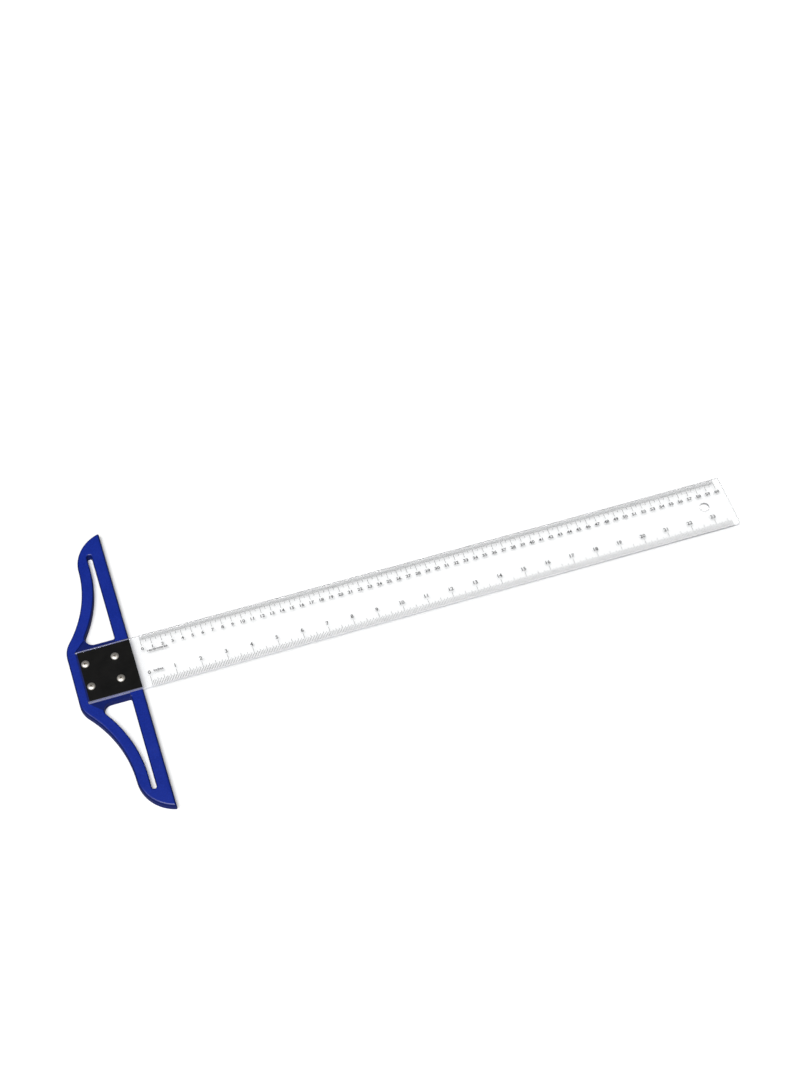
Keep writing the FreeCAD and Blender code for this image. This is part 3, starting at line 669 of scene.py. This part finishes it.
def cross_cutter():
    """The driver's shape: four tapering wings round a blunt cone, from above the head downwards."""
    bottom, depth = 0.75 * MM, 1.85 * MM
    shape = bmesh.new()
    rings = []
    for z, wing, slot in ((bottom, 0.75 * MM, 0.34 * MM), (bottom + depth + 0.4 * MM, 2.25 * MM, 0.56 * MM)):
        ring = []
        for quarter in range(4):
            turn = Matrix.Rotation(math.radians(90 * quarter), 4, "Z")
            for x, y in ((wing, -slot), (wing, slot), (slot * 1.25, slot * 1.25)):
                ring.append(shape.verts.new(turn @ Vector((x, y, z))))
        rings.append(ring)
    skin_rings(shape, rings)
    mesh = bpy.data.meshes.new("cross")
    shape.to_mesh(mesh)
    shape.free()
    return mesh


def make_screws(material):
    """Four screws from one pattern, each driven home to its own angle."""
    body, cutter = new_piece("screw_pattern", screw_body()), new_piece("cross_pattern", cross_cutter())
    cut = body.modifiers.new("recess", "BOOLEAN")
    cut.operation = "DIFFERENCE"
    cut.object = cutter
    cut.solver = "EXACT"
    body = softened(settled(body), 0.05 * MM)
    driven = (20, 64, 41, 8)    # degrees by which each cross is turned
    for name, turn in zip(SCREWS, driven):
        low, high = CAD[name]
        axis = Vector(((low.x + high.x) / 2, (low.y + high.y) / 2, PLATE_HIGH.z))
        mesh = body.data.copy()
        mesh.name = name
        mark_axis(mesh, Vector((0, 0, 0)))
        mesh.transform(Matrix.Translation(axis) @ Matrix.Rotation(math.radians(turn), 4, "Z"))
        piece = new_piece("pan_" + name, mesh)
        piece.data.materials.append(material)
        put_on(piece, "plated_steel", name)
    for pattern in (body, cutter):
        bpy.data.objects.remove(pattern)


def mark_axis(mesh, axis):
    """Stores where each corner lies from the piece's own axis, for the turned rings."""
    place = mesh.attributes.new("from_axis", "FLOAT_VECTOR", "POINT")
    for i, corner in enumerate(mesh.vertices):
        place.data[i].vector = corner.co - axis


def make_nuts(material):
    for name in NUTS:
        low, high = CAD[name]
        nut = softened(merged_copy(name, "hex_" + name), 0.08 * MM)
        mark_axis(nut.data, Vector(((low.x + high.x) / 2, (low.y + high.y) / 2, low.z)))
        nut.data.materials.append(material)
        put_on(nut, "plated_steel", name)


# ------------------------------------------------------------------ floor, light and camera

def make_floor():
    half = 6.0
    mesh = bpy.data.meshes.new("floor")
    z = HEAD_LOW.z
    corners = [(-half, -half, z), (half, -half, z), (half, half, z), (-half, half, z)]
    mesh.from_pydata(corners, [], [(0, 1, 2, 3)])
    floor = new_piece("floor", mesh)
    floor.data.materials.append(pale_floor())


def add_soft_light(name, towards, angle, strength):
    """A distant soft light that comes from the given direction."""
    light = bpy.data.lights.new(name, "SUN")
    light.energy = strength
    light.angle = math.radians(angle)
    lamp = bpy.data.objects.new(name, light)
    lamp.rotation_mode = "QUATERNION"
    lamp.rotation_quaternion = Vector(towards).to_track_quat("Z", "Y")
    bpy.context.scene.collection.objects.link(lamp)


def make_light():
    scene = bpy.context.scene
    world = bpy.data.worlds.new("studio")
    world.use_nodes = True
    tree = world.node_tree
    tree.nodes.clear()
    ray = tree.nodes.new("ShaderNodeLightPath").outputs
    looked_at = sums(tree, "MAXIMUM", ray["Is Camera Ray"], ray["Is Transmission Ray"])
    studio = add_node(tree, "ShaderNodeBackground", {
        "Color": (1, 1, 1, 1), "Strength": spread(tree, looked_at, 0, 1, 0.07, 0.95),
    })
    add_node(tree, "ShaderNodeOutputWorld", {"Surface": studio.outputs[0]})
    scene.world = world
    add_soft_light("key", (-0.15, -0.25, 0.955), 40, 2.75)
    add_soft_light("side", (-0.52, -0.05, 0.85), 30, 0.55)
    add_soft_light("front", (-0.20, -0.75, 0.63), 40, 0.5)
    scene.view_settings.view_transform = "Standard"


def make_camera():
    lens = bpy.data.cameras.new("camera")
    lens.lens = 65.18
    lens.sensor_width = 36
    lens.clip_start, lens.clip_end = 0.05, 50
    camera = bpy.data.objects.new("camera", lens)
    place, aim, roll = Vector((-0.0533, -0.9655, 1.6348)), Vector((0.2815, 0.0591, 0.0)), math.radians(0.134)
    camera.location = place
    camera.rotation_mode = "QUATERNION"
    camera.rotation_quaternion = (aim - place).to_track_quat("-Z", "Y") @ Quaternion((0, 0, 1), roll)
    bpy.context.scene.collection.objects.link(camera)
    bpy.context.scene.camera = camera


make_head(blue_moulding())
make_plate(black_plate())
make_blade(clear_acrylic(), milled_acrylic(), dulled_acrylic(), tinted_end())
make_scales(scale_ink())
make_screws(plated_metal("nickel_plate", (0.72, 0.69, 0.64, 1), (0.58, 0.55, 0.50, 1), 0.16 * MM))
make_nuts(plated_metal("zinc_plate", (0.62, 0.63, 0.64, 1), (0.50, 0.50, 0.49, 1), 0.30 * MM))
make_floor()
make_light()
make_camera()
